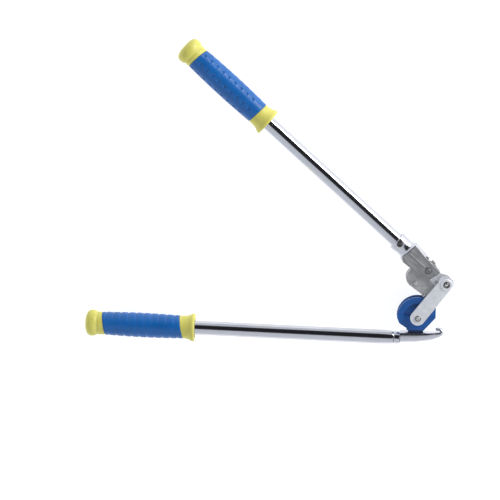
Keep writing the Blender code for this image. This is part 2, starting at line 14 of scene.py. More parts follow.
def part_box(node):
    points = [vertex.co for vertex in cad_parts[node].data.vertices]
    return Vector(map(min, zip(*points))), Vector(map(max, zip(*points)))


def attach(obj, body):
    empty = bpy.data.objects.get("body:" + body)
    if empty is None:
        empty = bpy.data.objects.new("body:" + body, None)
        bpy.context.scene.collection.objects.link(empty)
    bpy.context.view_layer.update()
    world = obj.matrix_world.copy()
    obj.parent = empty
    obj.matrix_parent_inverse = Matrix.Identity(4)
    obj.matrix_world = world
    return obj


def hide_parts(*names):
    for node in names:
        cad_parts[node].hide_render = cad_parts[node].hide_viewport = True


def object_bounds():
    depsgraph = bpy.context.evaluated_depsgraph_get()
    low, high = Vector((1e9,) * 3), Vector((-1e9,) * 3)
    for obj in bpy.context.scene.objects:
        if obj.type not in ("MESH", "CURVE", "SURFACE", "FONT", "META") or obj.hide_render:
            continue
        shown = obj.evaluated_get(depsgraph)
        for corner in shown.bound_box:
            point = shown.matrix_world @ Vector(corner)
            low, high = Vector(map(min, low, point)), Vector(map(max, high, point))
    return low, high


MM = 0.001

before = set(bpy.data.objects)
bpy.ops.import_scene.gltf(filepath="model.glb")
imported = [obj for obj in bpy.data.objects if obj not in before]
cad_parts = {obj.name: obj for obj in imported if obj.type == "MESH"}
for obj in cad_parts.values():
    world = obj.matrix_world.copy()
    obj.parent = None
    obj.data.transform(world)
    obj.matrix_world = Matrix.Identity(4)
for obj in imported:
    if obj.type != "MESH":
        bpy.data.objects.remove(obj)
cad_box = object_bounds()


def middle(node):
    """Middle of a CAD node's box."""
    low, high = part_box(node)
    return (low + high) / 2.0


WHEEL = middle("former_bush")
RIVET = middle("handle_pivot_bush")
FLOOR_Z = cad_box[0].z

UPPER_SLOPE = -40.3                    # degrees, upper handle
FOOT_TILT = 1.95                       # degrees, flat top of the foot
LOWER_AXIS_Y = -28.6
LOWER_CAP_X = -414.4
UPPER_CAP_S = -404.1
HANDLE_RIVET = ((RIVET.x - WHEEL.x) / MM, (RIVET.y - WHEEL.y) / MM)
SHOE_PIN = (32.6, 44.3)

TUBE_RADIUS = 9.0
TUBE_BORE = 7.5
TUBE_INSET = 6.5                       # from the knob's end to the tube's end
SHANK_RADIUS = 6.4
SHANK_START_X = -62.0
CHEEK_FACE = 12.1
EAR_FACE = 11.4


# ---- placing ----
def in_frame(points, origin, angle):
    """Plan points given in a frame that is turned and moved to origin."""
    c, s = math.cos(math.radians(angle)), math.sin(math.radians(angle))
    return [(origin[0] + c * x - s * y, origin[1] + s * x + c * y) for x, y in points]


def level(points):
    """Points of the foot, drawn level, as they lie on the sloping handle."""
    return in_frame(points, (0.0, 0.0), FOOT_TILT)


def on_handle(points):
    """Points along the upper handle from its rivet, towards the head and to the left."""
    return in_frame(points, HANDLE_RIVET, UPPER_SLOPE)


def place(point, z=0.0):
    """A plan position and a height, both in millimetres, as a point of the scene."""
    return WHEEL + Vector((point[0], point[1], z)) * MM


def axis_in_plane(origin, angle, z=0.0):
    """Matrix that lays a turned piece's axis flat, at an angle from X."""
    turn = Matrix.Rotation(math.radians(angle), 4, "Z")
    return Matrix.Translation(place(origin, z)) @ turn @ Matrix.Scale(MM, 4)


def axis_up(origin):
    """Matrix that stands a turned piece's axis upright."""
    turn = Matrix.Rotation(math.radians(-90.0), 4, "Y")
    return Matrix.Translation(place(origin)) @ turn @ Matrix.Scale(MM, 4)


# ---- materials ----
class Shader:
    """A Principled material and short calls that wire procedural detail into it."""

    def __init__(self, name, colour, roughness, metallic=0.0, **sockets):
        self.mat = bpy.data.materials.new(name)
        self.mat.use_nodes = True
        self.tree = self.mat.node_tree
        self.out = self.tree.nodes["Principled BSDF"]
        self.out.inputs["Base Color"].default_value = (*colour, 1.0)
        self.out.inputs["Roughness"].default_value = roughness
        self.out.inputs["Metallic"].default_value = metallic
        for key, value in sockets.items():
            self.out.inputs[key.replace("_", " ")].default_value = value
        self.coord = self.tree.nodes.new("ShaderNodeTexCoord")
        self.height = None

    def link(self, a, b):
        self.tree.links.new(a, b)

    def noise(self, scale, detail=3.0, roughness=0.55, stretch=(1.0, 1.0, 1.0), turn=0.0):
        """Fractal noise over the piece, in cycles per metre."""
        mapping = self.tree.nodes.new("ShaderNodeMapping")
        mapping.vector_type = "TEXTURE"
        mapping.inputs["Scale"].default_value = stretch
        mapping.inputs["Rotation"].default_value = (0.0, 0.0, math.radians(turn))
        self.link(self.coord.outputs["Object"], mapping.inputs["Vector"])
        tex = self.tree.nodes.new("ShaderNodeTexNoise")
        tex.inputs["Scale"].default_value = scale
        tex.inputs["Detail"].default_value = detail
        tex.inputs["Roughness"].default_value = roughness
        self.link(mapping.outputs["Vector"], tex.inputs["Vector"])
        return tex.outputs["Fac"]

    def ramp(self, fac, stops):
        node = self.tree.nodes.new("ShaderNodeValToRGB")
        node.color_ramp.elements[0].position = stops[0][0]
        node.color_ramp.elements[0].color = stops[0][1]
        node.color_ramp.elements[1].position = stops[-1][0]
        node.color_ramp.elements[1].color = stops[-1][1]
        for position, colour in stops[1:-1]:
            node.color_ramp.elements.new(position).color = colour
        self.link(fac, node.inputs["Fac"])
        return node.outputs["Color"]

    def spread(self, fac, low, high, start=0.3, end=0.7):
        """Map a noise to a range of numbers."""
        node = self.tree.nodes.new("ShaderNodeMapRange")
        node.inputs["From Min"].default_value = start
        node.inputs["From Max"].default_value = end
        node.inputs["To Min"].default_value = low
        node.inputs["To Max"].default_value = high
        self.link(fac, node.inputs["Value"])
        return node.outputs["Result"]

    def colour(self, fac, dark, light, start=0.3, end=0.7):
        stops = [(start, (*dark, 1.0)), (end, (*light, 1.0))]
        self.link(self.ramp(fac, stops), self.out.inputs["Base Color"])

    def rough(self, fac, low, high):
        self.link(self.spread(fac, low, high), self.out.inputs["Roughness"])

    def bump(self, fac, distance, strength=1.0):
        node = self.tree.nodes.new("ShaderNodeBump")
        node.inputs["Strength"].default_value = strength
        node.inputs["Distance"].default_value = distance
        self.link(fac, node.inputs["Height"])
        if self.height is not None:
            self.link(self.height, node.inputs["Normal"])
        self.height = node.outputs["Normal"]
        self.link(self.height, self.out.inputs["Normal"])


def make_chrome(name, rough_low, rough_high):
    s = Shader(name, (0.60, 0.615, 0.665), rough_high, 1.0)
    s.colour(s.noise(60.0), (0.58, 0.595, 0.645), (0.63, 0.645, 0.69))
    s.rough(s.noise(240.0, 5.0), rough_low, rough_high)
    s.bump(s.noise(28.0, 2.0), 0.000015, 0.5)
    return s.mat


def make_cast(name, dark, light, rough_low, rough_high, grain, metallic=1.0):
    """Blasted or brushed cast steel: fine grain, cloudy tone, soft gloss."""
    s = Shader(name, light, rough_high, metallic)
    s.colour(s.noise(170.0, 6.0, 0.65), dark, light)
    s.rough(s.noise(420.0, 5.0, 0.6), rough_low, rough_high)
    s.bump(s.noise(1700.0, 4.0, 0.6), grain)
    s.bump(s.noise(330.0, 3.0), grain * 1.6, 0.5)
    return s.mat


def make_brushed_cheek():
    """Cast cheek with the long scratches of its linishing along the handle."""
    s = Shader("linished_cheek", (0.4, 0.4, 0.4), 0.4, 0.6)
    streak = s.noise(420.0, 6.0, 0.7, (7.0, 1.0, 1.0), UPPER_SLOPE)
    s.colour(streak, (0.20, 0.20, 0.205), (0.50, 0.50, 0.51), 0.28, 0.72)
    s.rough(s.noise(500.0, 5.0), 0.38, 0.58)
    s.bump(streak, 0.00006, 0.8)
    s.bump(s.noise(1500.0, 4.0), 0.00004, 0.7)
    return s.mat


def make_zinc():
    s = Shader("zinc_fastener", (0.62, 0.62, 0.62), 0.25, 1.0)
    s.colour(s.noise(500.0, 4.0), (0.50, 0.50, 0.49), (0.74, 0.735, 0.72))
    s.rough(s.noise(900.0, 4.0), 0.18, 0.34)
    s.bump(s.noise(2500.0, 3.0), 0.00001, 0.6)
    return s.mat


# dark steel for the set screw and the shoe pin; the same dark is painted shade on the rings at the
# pin heads, on the foot's shank in the collar's seams and in the shoe pin's dished head
def make_dark_steel_and_shade():
    s = Shader("darkened_steel_and_painted_shade", (0.16, 0.15, 0.14), 0.30, 1.0)
    s.colour(s.noise(600.0, 4.0), (0.09, 0.085, 0.08), (0.24, 0.23, 0.22))
    s.rough(s.noise(900.0, 4.0), 0.22, 0.38)
    s.bump(s.noise(2500.0, 3.0), 0.00001, 0.6)
    return s.mat


def make_polished():
    s = Shader("polished_end", (0.92, 0.92, 0.91), 0.15, 1.0)
    s.colour(s.noise(600.0, 4.0), (0.86, 0.86, 0.85), (0.95, 0.95, 0.94))
    s.rough(s.noise(900.0, 4.0), 0.12, 0.22)
    return s.mat


def make_former_blue(name, dark, light):
    """Semi-gloss moulded nylon with faint flow marks and rub marks."""
    s = Shader(name, light, 0.34, 0.0, IOR=1.5)
    s.colour(s.noise(90.0, 4.0, 0.6), dark, light)
    s.rough(s.noise(360.0, 5.0, 0.65), 0.26, 0.46)
    s.bump(s.noise(900.0, 4.0, 0.6), 0.00004, 0.6)
    s.bump(s.noise(120.0, 2.0), 0.00008, 0.4)
    return s.mat


def make_grip_blue():
    """Soft grip: satin rubber with a fine moulded grain and a little fading."""
    s = Shader("grip_rubber_blue", (0.016, 0.10, 0.36), 0.45, 0.0, IOR=1.45)
    s.colour(s.noise(55.0, 5.0, 0.6), (0.004, 0.108, 0.38), (0.008, 0.140, 0.47))
    s.rough(s.noise(300.0, 5.0, 0.6), 0.28, 0.46)
    s.bump(s.noise(1900.0, 3.0, 0.6), 0.00005, 0.7)
    s.bump(s.noise(210.0, 2.0), 0.00006, 0.35)
    return s.mat


def make_grip_yellow():
    """Satin moulded plastic, a little cloudy, with moulding grain."""
    s = Shader("grip_plastic_yellow", (0.74, 0.70, 0.16), 0.42, 0.0, IOR=1.46)
    s.out.inputs["Subsurface Weight"].default_value = 0.08
    s.out.inputs["Subsurface Radius"].default_value = (0.004, 0.004, 0.001)
    s.colour(s.noise(70.0, 4.0, 0.6), (0.66, 0.62, 0.120), (0.75, 0.705, 0.165))
    s.rough(s.noise(320.0, 5.0, 0.6), 0.34, 0.52)
    s.bump(s.noise(1500.0, 3.0, 0.6), 0.00004, 0.6)
    return s.mat


def make_floor():
    """Pale floor that also gives off light of its own, so that it reads as white."""
    s = Shader("pale_floor", (0.50, 0.50, 0.50), 0.75)
    s.colour(s.noise(6.0, 3.0), (0.49, 0.49, 0.49), (0.51, 0.51, 0.51))
    s.out.inputs["Emission Color"].default_value = (1.0, 1.0, 1.0, 1.0)
    s.out.inputs["Emission Strength"].default_value = 0.80
    return s.mat


MATS = {
    "chrome": make_chrome("bright_chrome", 0.09, 0.16),
    "satin_chrome": make_chrome("satin_chrome", 0.14, 0.26),
    "cast": make_cast("blasted_casting", (0.74, 0.755, 0.79), (0.90, 0.915, 0.95), 0.46, 0.62,
                      0.00003, 0.55),
    "rough_cast": make_cast("shoe_casting", (0.32, 0.32, 0.325), (0.54, 0.54, 0.545), 0.40, 0.58,
                            0.00006, 0.45),
    "cheek": make_brushed_cheek(),
    "zinc": make_zinc(),
    "dark_steel_and_shade": make_dark_steel_and_shade(),
    "polished": make_polished(),
    "rivet": make_cast("dull_rivet", (0.20, 0.20, 0.20), (0.38, 0.38, 0.38), 0.50, 0.66, 0.00003),
    # painted shade: the ears are coloured darker than the arms, standing for the shade of their
    # step below the arm faces
    "ear": make_cast("yoke_ear_painted_shade", (0.48, 0.49, 0.51), (0.66, 0.67, 0.70), 0.52, 0.68, 0.00006, 0.5),
    "rib": make_cast("cheek_rib", (0.24, 0.24, 0.245), (0.38, 0.38, 0.39), 0.60, 0.74, 0.00004,
                     0.6),
    "satin_zinc": make_cast("satin_zinc", (0.52, 0.52, 0.52), (0.70, 0.70, 0.69), 0.46, 0.60,
                            0.00002),
    "former_blue": make_former_blue("former_nylon", (0.004, 0.080, 0.30), (0.008, 0.106, 0.39)),
    "seat_blue": make_former_blue("seat_nylon", (0.003, 0.020, 0.085), (0.006, 0.034, 0.130)),
    "grip_blue": make_grip_blue(),
    "grip_yellow": make_grip_yellow(),
}


# ---- building pieces ----
def new_piece(name, bm, mat, body, nodes, angle=35.0):
    """Finish a mesh as a piece that rides on a body and stands for CAD nodes."""
    bmesh.ops.recalc_face_normals(bm, faces=bm.faces)
    mesh = bpy.data.meshes.new(name)
    bm.to_mesh(mesh)
    bm.free()
    mesh.shade_smooth()
    mesh.set_sharp_from_angle(angle=math.radians(angle))
    mesh.materials.append(MATS[mat])
    obj = bpy.data.objects.new(name, mesh)
    bpy.context.scene.collection.objects.link(obj)
    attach(obj, body)
    if nodes:
        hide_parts(*nodes)
    return obj


def bridge(bm, rings, closed=False, caps=True):
    """Faces between rings of vertices; a ring of one vertex closes to a point."""
    pairs = list(zip(rings, rings[1:]))
    if closed:
        pairs.append((rings[-1], rings[0]))
    for first, second in pairs:
        count = max(len(first), len(second))
        for i in range(count):
            j = (i + 1) % count
            corners = [first[i % len(first)], first[j % len(first)],
                       second[j % len(second)], second[i % len(second)]]
            unique = list(dict.fromkeys(corners))
            if len(unique) > 2:
                bm.faces.new(unique)
    if caps and not closed:
        for ring in (rings[0], rings[-1]):
            if len(ring) > 2:
                bm.faces.new(ring)


def turned_rings(bm, profile, matrix, sides, shape=None):
    """Rings of a turned piece. shape(along, angle, radius) may move the surface."""
    rings = []
    for along, radius in profile:
        if radius == 0.0:
            rings.append([bm.verts.new(matrix @ Vector((along, 0.0, 0.0)))])
            continue
        ring = []
        for i in range(sides):
            angle = 2.0 * math.pi * i / sides
            a, r = (along, radius) if shape is None else shape(along, angle, radius)
            point = Vector((a, r * math.cos(angle), r * math.sin(angle)))
            ring.append(bm.verts.new(matrix @ point))
        rings.append(ring)
    return rings


def turned(name, profile, matrix, mat, body, nodes, sides=72, closed=False, shape=None):
    bm = bmesh.new()
    bridge(bm, turned_rings(bm, profile, matrix, sides, shape), closed)
    return new_piece(name, bm, mat, body, nodes)


def softened(profile, closed=False, radius=0.5, steps=3):
    """Round the corners of a turned profile, apart from points on the axis."""
    out = []
    count = len(profile)
    for i, (a, r) in enumerate(profile):
        ends = not closed and i in (0, count - 1)
        if ends or r == 0.0:
            out.append((a, r))
            continue
        here = Vector((a, r))
        before = Vector(profile[i - 1]) - here
        after = Vector(profile[(i + 1) % count]) - here
        turn = before.angle(-after) if before.length and after.length else 0.0
        cut = min(radius, before.length * 0.45, after.length * 0.45)
        if turn < math.radians(18.0):
            out.append((a, r))
            continue
        p0, p2 = here + before.normalized() * cut, here + after.normalized() * cut
        for k in range(steps + 1):
            t = k / steps
            q = p0 * (1 - t) ** 2 + here * 2 * t * (1 - t) + p2 * t ** 2
            out.append((q.x, q.y))
    return out


def round_edges(obj, width, segments, limit):
    """Bevel the edges sharper than limit degrees, to width millimetres."""
    bevel = obj.modifiers.new("round_edges", "BEVEL")
    bevel.width = width * MM
    bevel.segments = segments
    bevel.limit_method = "ANGLE"
    bevel.angle_limit = math.radians(limit)
    bevel.harden_normals = True


def copied(node, name, mat, body, width=0.35, segments=2, limit=28.0):
    """A CAD node's own shape with its flat faces joined up and its edges rounded."""
    bm = bmesh.new()
    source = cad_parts[node]
    bm.from_mesh(source.data)
    bmesh.ops.remove_doubles(bm, verts=bm.verts, dist=0.000005)
    bmesh.ops.dissolve_limit(bm, angle_limit=math.radians(1.0), verts=bm.verts, edges=bm.edges)
    obj = new_piece(name, bm, mat, body, [node], 40.0)
    round_edges(obj, width, segments, limit)
    return obj


# ---- grips ----
def core_profile():
    """Yellow core: knob, neck, the part under the sleeve, and the flared flange."""
    return [(0.0, 0.0), (0.15, 6.0), (0.6, 9.6), (1.7, 12.6), (3.4, 14.8), (5.2, 16.0),
            (7.4, 16.5), (9.6, 16.5), (11.6, 16.15), (13.2, 15.5), (14.2, 14.75), (15.0, 14.3),
            (16.2, 14.2), (17.0, 14.45), (18.0, 14.5), (19.2, 14.3), (20.4, 14.25),
            (22.0, 14.2), (22.2, 14.0), (22.2, 11.7), (120.1, 11.7), (120.1, 14.0),
            (120.3, 14.2), (122.4, 14.25), (125.6, 14.35), (128.6, 14.8), (131.0, 15.6),
            (132.8, 16.6), (134.4, 17.35), (135.6, 17.5), (136.6, 17.3), (137.2, 16.8),
            (137.5, 16.2), (137.5, 12.6), (136.4, 11.6), (135.8, 10.2), (135.8, 9.3),
            (6.0, 9.3), (6.0, 0.0)]


SLEEVE_START = 22.5
SLEEVE_END = 119.8
SLEEVE_BORE = 12.0
SLEEVE_RADIUS = 14.45
SLEEVE_CROWN = 1.0
SLEEVE_OUTSIDE = 13.0                  # points of a sleeve beyond this radius are its outside
LIP_DROP, LIP_LENGTH = 0.45, 0.8
LEAN_START, LEAN_END, LEAN_FADE = 16.0, 127.0, 6.0
GRIP_SIDES, SLEEVE_SIDES, SLEEVE_STEPS = 96, 144, 190

# how far each seam leans (towards the outer side, towards the upper face) and shifts, both ends
LOWER_SEAMS = ((-2.5, 0.0, 0.95), (-2.6, 0.1, 0.9))
UPPER_SEAMS = ((1.5, -1.4, 0.0), (1.2, -0.5, 0.0))


def leaning(along, angle, seams):
    """Place along the grip of a point when the sleeve's two ends are cut on a slant."""
    t = min(1.0, max(0.0, (along - SLEEVE_START) / (SLEEVE_END - SLEEVE_START)))
    fade = min(1.0, max(0.0, (along - LEAN_START) / LEAN_FADE),
               max(0.0, (LEAN_END - along) / LEAN_FADE))
    side, face, shift = (a * (1.0 - t) + b * t for a, b in zip(*seams))
    return along + fade * (side * math.cos(angle) + face * math.sin(angle) + shift)


def sleeve_profile(steps):
    """Outside of a sleeve as (place along the grip, radius)."""
    out = []
    length = SLEEVE_END - SLEEVE_START
    for i in range(steps + 1):
        t = i / steps
        edge = min(t, 1.0 - t) * length
        lip = LIP_DROP * max(0.0, 1.0 - edge / LIP_LENGTH) ** 2
        out.append((SLEEVE_START + length * t,
                    SLEEVE_RADIUS + SLEEVE_CROWN * math.sin(math.pi * t) - lip))
    return out


RIB_PITCH = 9.6
FIRST_RIB = 4.2
RIB_FADE = 0.06
RIB_DEPTH, SIDE_DEPTH, WAVE_DEPTH = 0.09, 0.72, 0.08


def ribbed(along, angle, radius):
    """Moulded pads: shallow valleys round the grip, deeper on its two sides."""
    place_along = leaning(along, angle, LOWER_SEAMS)
    if radius < SLEEVE_OUTSIDE:
        return place_along, radius
    t = (along - SLEEVE_START) / (SLEEVE_END - SLEEVE_START)
    fade = min(1.0, t / RIB_FADE, (1.0 - t) / RIB_FADE)
    phase = (along - SLEEVE_START - FIRST_RIB) / RIB_PITCH
    valley = max(0.0, math.cos(2.0 * math.pi * phase)) ** 2
    pad = math.cos(angle) ** 2
    wave = math.sin(2.0 * math.pi * phase) * math.sin(3.0 * angle)
    depth = (RIB_DEPTH + SIDE_DEPTH * pad) * valley + WAVE_DEPTH * wave
    return place_along, radius - depth * fade


DIMPLE_PITCH = 9.6
DIMPLE_ROWS = 8
FIRST_ROW = math.radians(6.0)
FIRST_DIMPLE = 4.0
LAST_STEP = 8
DIMPLE_RADIUS, DIMPLE_DEPTH = 2.5, 1.05
RIM_HEIGHT, RIM_PLACE, RIM_WIDTH = 0.12, 1.12, 0.16


def dimpled(along, angle, radius):
    """Rows of round dimples along the grip."""
    place_along = leaning(along, angle, UPPER_SEAMS)
    if radius < SLEEVE_OUTSIDE:
        return place_along, radius
    row = (angle - FIRST_ROW) * DIMPLE_ROWS / (2.0 * math.pi)
    stagger = 0.5 if round(row) % 2 == 0 else 0.0
    step = (along - SLEEVE_START - FIRST_DIMPLE) / DIMPLE_PITCH - stagger
    da = (step - round(step)) * DIMPLE_PITCH
    dr = (row - round(row)) / DIMPLE_ROWS * 2.0 * math.pi * radius
    if not 0 <= round(step) <= LAST_STEP:
        return place_along, radius
    reach = math.hypot(da, dr) / DIMPLE_RADIUS
    bowl = DIMPLE_DEPTH * max(0.0, 1.0 - reach ** 2) ** 0.8
    rim = RIM_HEIGHT * math.exp(-((reach - RIM_PLACE) / RIM_WIDTH) ** 2)
    return place_along, radius - bowl + rim


def make_grip(prefix, matrix, body, shape, seams):
    """Yellow core and blue sleeve of one grip."""
    def core_shape(along, angle, radius):
        return (leaning(along, angle, seams) if radius > 11.0 else along), radius

    turned(prefix + "_grip_body", core_profile(), matrix, "grip_yellow", body,
           [prefix + "_grip_core"], GRIP_SIDES, shape=core_shape)
    profile = ([(SLEEVE_START, SLEEVE_BORE)] + sleeve_profile(SLEEVE_STEPS)
               + [(SLEEVE_END, SLEEVE_BORE)])
    turned(prefix + "_grip_cover", profile, matrix, "grip_blue", body,
           [prefix + "_grip_sleeve"], SLEEVE_SIDES, True, shape)


LOWER_LINE = axis_in_plane((LOWER_CAP_X, LOWER_AXIS_Y), 0.0)
UPPER_LINE = axis_in_plane(on_handle([(UPPER_CAP_S, 0.0)])[0], UPPER_SLOPE)
HEAD_LINE = axis_in_plane(HANDLE_RIVET, UPPER_SLOPE)

make_grip("lower", LOWER_LINE, "base", ribbed, LOWER_SEAMS)
make_grip("upper", UPPER_LINE, "handle", dimpled, UPPER_SEAMS)


# ---- chromed tubes, collar, foot and socket ----
def make_tubes_and_collar():
    """Both tubes, the lower one swaged at its end, and the collar between tube and foot."""
    end = -28.5 - LOWER_CAP_X
    lower = [(TUBE_INSET, TUBE_BORE), (TUBE_INSET, TUBE_RADIUS), (end - 24.0, TUBE_RADIUS),
             (end - 18.0, 8.93), (end - 10.0, 8.6), (end - 4.0, 8.2), (end - 1.2, 8.05),
             (end - 0.3, 7.75), (end, 7.3), (end, 6.7), (end - 20.0, TUBE_BORE)]
    turned("lower_tube_chromed", lower, LOWER_LINE, "chrome", "base", ["lower_tube"],
           96, True)
    ferrule = softened([(0.0, 6.7), (0.0, 7.4), (0.5, 7.8), (6.7, 7.8), (7.2, 7.4), (7.2, 6.7)],
                       True, 0.25)
    turned("foot_collar", ferrule, axis_in_plane((-28.2, LOWER_AXIS_Y), 0.0), "chrome", "base",
           ["foot_ferrule"], 96, True)
    upper_end = -37.3 - UPPER_CAP_S
    upper = [(TUBE_INSET, TUBE_BORE), (TUBE_INSET, TUBE_RADIUS), (upper_end, TUBE_RADIUS),
             (upper_end, TUBE_BORE)]
    turned("upper_tube_chromed", upper, UPPER_LINE, "chrome", "handle", ["upper_tube"],
           96, True)


make_tubes_and_collar()


def foot_stations():
    """Sections of the foot, drawn level: point on the flat top, point underneath, half width."""
    top, half = -20.1, 7.6
    return [(-21.3, top, -21.3, -33.6, half), (-13.5, top, -13.5, -33.4, half),
            (-4.4, top, -4.4, -33.3, half), (3.0, top, 3.0, -32.7, half),
            (8.7, top, 8.7, -32.0, half), (13.0, top, 13.0, -31.4, 7.3),
            (18.0, top, 18.0, -30.4, 6.5), (22.0, top, 22.4, -28.9, 5.7),
            (25.5, top, 28.0, -26.6, 5.1), (27.4, -19.9, 31.0, -24.2, 4.7),
            (28.1, -19.0, 32.8, -19.8, 4.5), (27.5, -18.1, 32.0, -16.4, 4.3),
            (26.6, -17.9, 28.9, -14.5, 4.1), (24.8, -18.0, 25.0, -14.1, 3.9),
            (23.2, -17.6, 23.2, -14.5, 3.6), (22.3, -16.7, 22.3, -15.4, 3.1)]


def spline(rows, steps):
    """Rows of numbers with smooth rows between them."""
    out = []
    last = len(rows) - 1
    for i in range(last):
        p0, p1, p2, p3 = rows[max(0, i - 1)], rows[i], rows[i + 1], rows[min(last, i + 2)]
        for k in range(steps):
            t = k / steps
            row = []
            for a, b, c, d in zip(p0, p1, p2, p3):
                row.append(0.5 * (2.0 * b + (c - a) * t + (2.0 * a - 5.0 * b + 4.0 * c - d) * t * t
                                  + (3.0 * b - a - 3.0 * c + d) * t ** 3))
            out.append(tuple(row))
    return out + [rows[-1]]


def foot_ring(bm, x0, y0, x1, y1, half):
    """One section of the foot: flat on top, flat at the sides, round underneath."""
    top = Vector(level([(x0, y0)])[0])
    along = Vector(level([(x1, y1)])[0]) - top
    depth = along.length
    along.normalize()
    round_depth = min(half, 0.7 * depth)
    edge = min(0.5, 0.15 * depth)
    flat = []
    for sign in (-1.0, 1.0):
        corner = [(edge * (1.0 - math.sin(a)), sign * (half - edge * (1.0 - math.cos(a))))
                  for a in (0.0, math.pi / 6.0, math.pi / 3.0, math.pi / 2.0)]
        flat += corner if sign < 0.0 else corner[::-1]
    under = []
    for i in range(37):
        angle = math.pi * i / 36
        under.append((depth - round_depth + round_depth * math.sin(angle), half * math.cos(angle)))
    return [bm.verts.new(place(top + along * t, z)) for t, z in flat + under]


def carve(obj, cutters):
    """Cut closed shapes out of a piece for good, then drop the cutters."""
    for cutter in cutters:
        modifier = obj.modifiers.new("carve", "BOOLEAN")
        modifier.operation = "DIFFERENCE"
        modifier.solver = "EXACT"
        modifier.object = cutter
    bpy.context.view_layer.update()
    graph = bpy.context.evaluated_depsgraph_get()
    mesh = bpy.data.meshes.new_from_object(obj.evaluated_get(graph))
    obj.modifiers.clear()
    obj.data = mesh
    mesh.shade_smooth()
    mesh.set_sharp_from_angle(angle=math.radians(33.0))
    for cutter in cutters:
        bpy.data.objects.remove(cutter, do_unlink=True)


def cutter_object(bm):
    """A mesh as an object that carve can cut with."""
    bmesh.ops.recalc_face_normals(bm, faces=bm.faces)
    mesh = bpy.data.meshes.new("cutter")
    bm.to_mesh(mesh)
    bm.free()
    obj = bpy.data.objects.new("cutter", mesh)
    bpy.context.scene.collection.objects.link(obj)
    return obj


def turned_cutter(profile, matrix, sides=48):
    bm = bmesh.new()
    bridge(bm, turned_rings(bm, profile, matrix, sides))
    return cutter_object(bm)


def plate_mesh(outline, z0, z1):
    """A flat plate of a given outline between two heights."""
    bm = bmesh.new()
    low = [bm.verts.new(place(p, z0)) for p in outline]
    high = [bm.verts.new(place(p, z1)) for p in outline]
    bridge(bm, [low, high])
    return bm


def make_foot():
    """The foot with its hook, and the two screw bores from below."""
    bm = bmesh.new()
    bridge(bm, [foot_ring(bm, *row) for row in spline(foot_stations(), 6)])
    foot = new_piece("foot_with_hook", bm, "chrome", "base", ["foot_hook"])
    cutters = []
    for x in (-7.5, 3.0):
        start = level([(x, -40.0)])[0]
        bore = [(0.0, 0.0), (0.0, 4.2), (6.0, 4.2), (6.5, 3.9), (12.0, 3.9), (12.0, 2.3),
                (24.0, 2.3), (24.0, 0.0)]
        cutters.append(turned_cutter(bore, axis_in_plane(start, 90.0 + FOOT_TILT)))
    carve(foot, cutters)


def make_socket():
    """Chromed socket, round where it takes the tube and cut down between the cheeks."""
    outside = spline([(-52.5, 11.85), (-49.0, 11.9), (-46.0, 11.7), (-42.0, 11.15),
                      (-38.8, 11.15), (-36.4, 11.6), (-34.6, 13.0), (-33.0, 14.2), (-30.0, 14.1),
                      (-24.0, 13.6), (-13.8, 12.5)], 4)
    profile = ([(-37.0, 0.0), (-37.0, 9.3), (-52.6, 9.3), (-53.0, 9.7), (-53.0, 11.3)] + outside
               + [(-13.0, 11.9), (-13.0, 0.0)])
    socket = turned("handle_socket_chromed", profile, HEAD_LINE, "satin_chrome", "handle",
                    ["handle_socket"], 96)
    shoulder = on_handle([(-35.4, -20.0), (-10.0, -20.0), (-10.0, 20.0), (-33.0, 20.0),
                          (-33.6, 9.4), (-34.6, -1.1), (-35.6, -7.2)])
    mouth = on_handle([(-31.2, -20.0), (0.0, -20.0), (0.0, 6.6), (-26.0, 6.6), (-31.2, 1.4)])
    screw_at = on_handle([(-48.2, 0.0)])[0]
    hole = [(7.0, 0.0), (7.0, 3.3), (11.2, 3.3), (11.7, 3.7), (20.0, 3.7), (20.0, 0.0)]
    carve(socket, [cutter_object(plate_mesh(shoulder, 8.3, 20.0)),
                   cutter_object(plate_mesh(shoulder, -20.0, -8.3)),
                   cutter_object(plate_mesh(mouth, -15.0, 15.0)),
                   turned_cutter(hole, axis_up(screw_at))])


def make_shank():
    """The foot's shank inside the tube, seen only as a dark line at the collar's two seams; its
    dark colour is painted shade in those seams.
    """
    profile = [(0.0, 0.0), (0.0, 5.4), (1.0, SHANK_RADIUS), (41.5, SHANK_RADIUS), (41.8, 6.1),
               (41.8, 0.0)]
    turned("foot_shank", profile, axis_in_plane((SHANK_START_X, LOWER_AXIS_Y), 0.0), "dark_steel_and_shade",
           "base", [], 64)


make_foot()
make_shank()
make_socket()


# ---- castings ----
def make_yoke():
    """The yoke, its ears cut back from the faces of the arms, left rougher and coloured darker as
    painted shade of the step below the arms.
    """
    yoke = copied("yoke", "yoke_casting", "cast", "yoke")
    yoke.modifiers.clear()
    yoke.data.materials.append(MATS["ear"])
    shoe_pin = middle("shoe_pin") - WHEEL
    direction = math.degrees(math.atan2(shoe_pin.y, shoe_pin.x))
    arm_top = spline([(47.0, 9.7), (50.5, 9.9), (54.0, 11.0), (57.2, 11.6), (60.2, 10.7),
                      (62.6, 8.0), (64.0, 4.6), (64.7, 1.2)], 4)
    outline = in_frame([(40.0, 9.7)] + arm_top + [(72.0, 1.2), (72.0, 26.0), (40.0, 26.0)],
                       (0.0, 0.0), direction)
    cutters = [cutter_object(plate_mesh(outline, EAR_FACE, 14.0)),
               cutter_object(plate_mesh(outline, -14.0, -EAR_FACE))]
    # the cut faces take the darker ear material, painted shade below the arm faces
    for cutter in cutters:
        for mat in ("cast", "ear"):
            cutter.data.materials.append(MATS[mat])
        cutter.data.polygons.foreach_set("material_index", [1] * len(cutter.data.polygons))
    carve(yoke, cutters)
    round_edges(yoke, 0.35, 2, 28.0)


make_yoke()
copied("shoe_bracket", "shoe_casting_piece", "rough_cast", "shoe", 0.5, 3)
copied("near_cheek", "near_cheek_piece", "cheek", "handle", 0.5, 3)
copied("far_cheek", "far_cheek_piece", "cheek", "handle", 0.5, 3)


